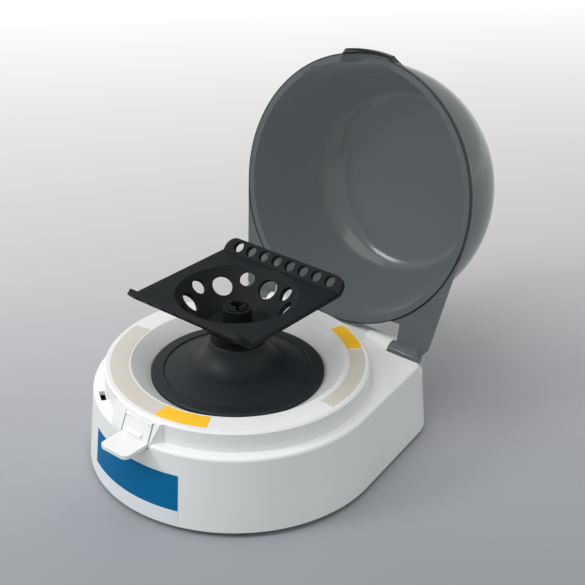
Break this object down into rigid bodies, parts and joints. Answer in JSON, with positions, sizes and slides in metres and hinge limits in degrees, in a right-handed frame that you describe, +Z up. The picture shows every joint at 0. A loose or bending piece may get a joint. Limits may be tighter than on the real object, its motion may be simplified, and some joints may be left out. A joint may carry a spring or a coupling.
{
  "type": "mini centrifuge",
  "caption": "Mini centrifuge with a white housing, a hinged smoke dome lid, a black strip rotor and a front press latch.",
  "frame": {"origin": "bench level under the rotor's axis", "axes": "+Z up along the rotor's axis; -Y is the front with the latch, +Y the hinge side"},
  "size_m": [0.1604, 0.2564, 0.1965],
  "materials": {
    "white_body": "satin",
    "smoke_plastic": "gloss",
    "black_plastic": "satin",
    "red_plastic": "satin",
    "foot_rubber": "matte",
    "steel": "satin",
    "board": "satin"
  },
  "bodies": {
    "base": {"housing_top": "white_body", "base_plate": "white_body", "foot_front_middle": "foot_rubber", "foot_front_right": "foot_rubber", "foot_front_left": "foot_rubber", "foot_rear_right": "foot_rubber", "foot_rear_left": "foot_rubber", "base_screws": "steel", "motor_cover": "black_plastic", "hinge_pin_right": "steel", "hinge_pin_left": "steel", "motor_can": "steel", "motor_rear_cap": "black_plastic", "motor_bracket": "steel", "motor_dampers": "foot_rubber", "bracket_screws": "steel", "motor_screws": "steel", "interlock_switch": "black_plastic", "power_switch": "black_plastic", "power_inlet": "black_plastic", "inlet_nut": "steel", "control_board": "board", "board_parts": "black_plastic"},
    "lid_body": {"lid": "smoke_plastic"},
    "rotor_body": {"strip_rotor": "black_plastic", "drive_hub": "black_plastic", "motor_shaft": "steel"},
    "latch_body": {"latch_tongue": "white_body"},
    "rocker_body": {"power_rocker": "black_plastic"},
    "plunger_body": {"interlock_plunger": "red_plastic"}
  },
  "joints": [
    {"name": "lid_hinge", "type": "hinge", "parent": "base", "child": "lid_body", "pos_m": [0, 0.0794, 0.0423], "axis": [1, 0, 0], "range_deg": [0, 101.4]},
    {"name": "rotor_spin", "type": "hinge", "parent": "base", "child": "rotor_body", "pos_m": [0, 0, 0.06], "axis": [0, 0, 1], "continuous": true},
    {"name": "latch_press", "type": "hinge", "parent": "base", "child": "latch_body", "pos_m": [-0.0008, -0.07121, 0.0527], "axis": [1, 0, 0], "range_deg": [0, 4], "stiffness_Nm_per_rad": 0.6},
    {"name": "rocker_tilt", "type": "hinge", "parent": "base", "child": "rocker_body", "pos_m": [0.017, 0.0867, 0.0225], "axis": [0, 0, 1], "range_deg": [-18, 0]},
    {"name": "plunger_press", "type": "slide", "parent": "base", "child": "plunger_body", "axis": [0, 0, -1], "range_m": [0, 0.0012], "stiffness_N_per_m": 150}
  ]
}
